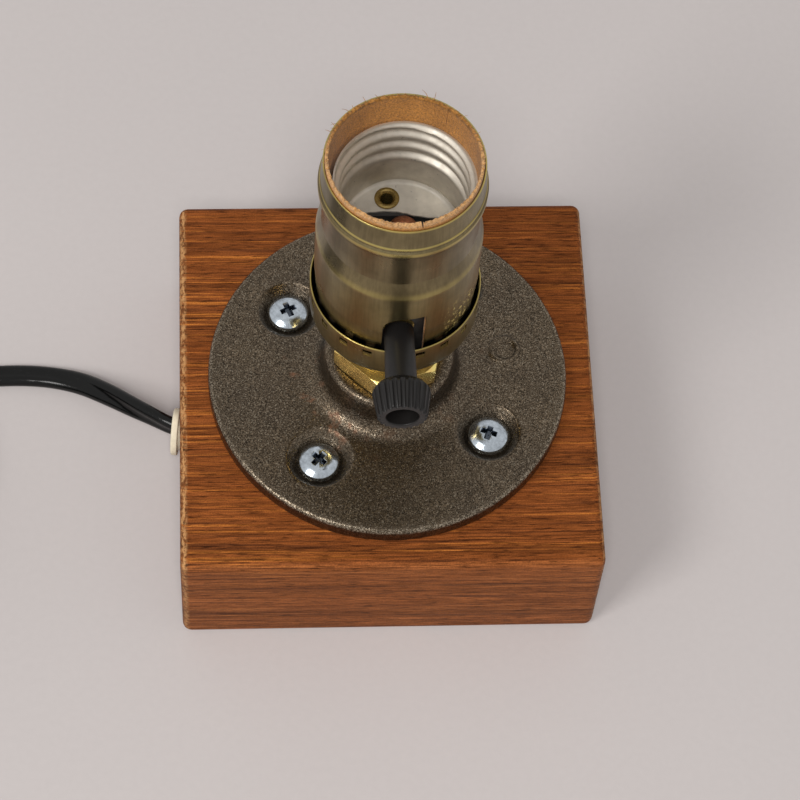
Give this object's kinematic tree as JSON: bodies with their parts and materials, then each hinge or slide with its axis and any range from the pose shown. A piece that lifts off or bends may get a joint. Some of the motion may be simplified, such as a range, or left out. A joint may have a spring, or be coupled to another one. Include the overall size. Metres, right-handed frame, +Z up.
{
  "type": "table lamp",
  "caption": "Bulb socket with a turn switch on a cast pipe flange, screwed to a square stained wood block, with a cord and plug; no shade and no bulb.",
  "frame": {"origin": "middle of the wood block's underside, where the lamp stands on the table", "axes": "+Z up along the socket's axis, -Y the way the knob points, -X the side where the cord leaves"},
  "size_m": [0.2834, 0.0864, 0.1178],
  "materials": {
    "stained_wood": "stained, satin",
    "cast_iron": "sand cast, dry",
    "zinc_steel": "zinc plated",
    "turned_brass": "turned, bright",
    "antique_brass": "darkened, rubbed bright on the edges",
    "kraft_fibre": "raw fibre",
    "rolled_aluminium": "rolled",
    "copper_contact": "bare copper",
    "black_phenolic": "moulded",
    "rotor_plastic": "moulded",
    "knob_plastic": "moulded",
    "cord_vinyl": "smooth",
    "lead_vinyl": "smooth",
    "cream_plastic": "moulded",
    "plug_vinyl": "moulded",
    "tie_plastic": "soft strap"
  },
  "bodies": {
    "lamp": {"wood_base": "stained_wood", "floor_flange": "cast_iron", "flange_screws": "zinc_steel", "hex_bushing": "turned_brass", "threaded_nipple": "zinc_steel", "cap_collar": "antique_brass", "collar_set_screw": "zinc_steel", "socket_cap": "antique_brass", "socket_shell": "antique_brass", "fibre_liner": "kraft_fibre", "screw_shell": "rolled_aluminium", "shell_tab": "rolled_aluminium", "shell_eyelet": "turned_brass", "contact_leaf": "turned_brass", "switch_body_upper": "black_phenolic", "switch_body_lower": "black_phenolic", "spindle_bush": "turned_brass", "live_terminal": "turned_brass", "neutral_terminal": "zinc_steel", "terminal_screws": "zinc_steel", "inner_cord": "cord_vinyl", "live_lead": "lead_vinyl", "neutral_lead": "lead_vinyl", "cord_grommet": "cream_plastic", "cord_free": "cord_vinyl", "cord_coil": "cord_vinyl", "cord_tail": "cord_vinyl", "coil_tie": "tie_plastic", "plug_relief": "plug_vinyl", "power_plug": "plug_vinyl", "plug_blades": "turned_brass"},
    "knob": {"turn_knob": "knob_plastic", "switch_spindle": "zinc_steel", "switch_rotor": "rotor_plastic"},
    "contact": {"centre_contact": "copper_contact"}
  },
  "joints": [
    {"name": "knob_turn", "type": "hinge", "parent": "lamp", "child": "knob", "pos_m": [0, 0, 0.0782], "axis": [0, -1, 0], "continuous": true},
    {"name": "contact_press", "type": "slide", "parent": "lamp", "child": "contact", "axis": [0, 0, -1], "range_m": [0, 0.001], "stiffness_N_per_m": 1000, "deforming": ["contact_leaf"]}
  ]
}
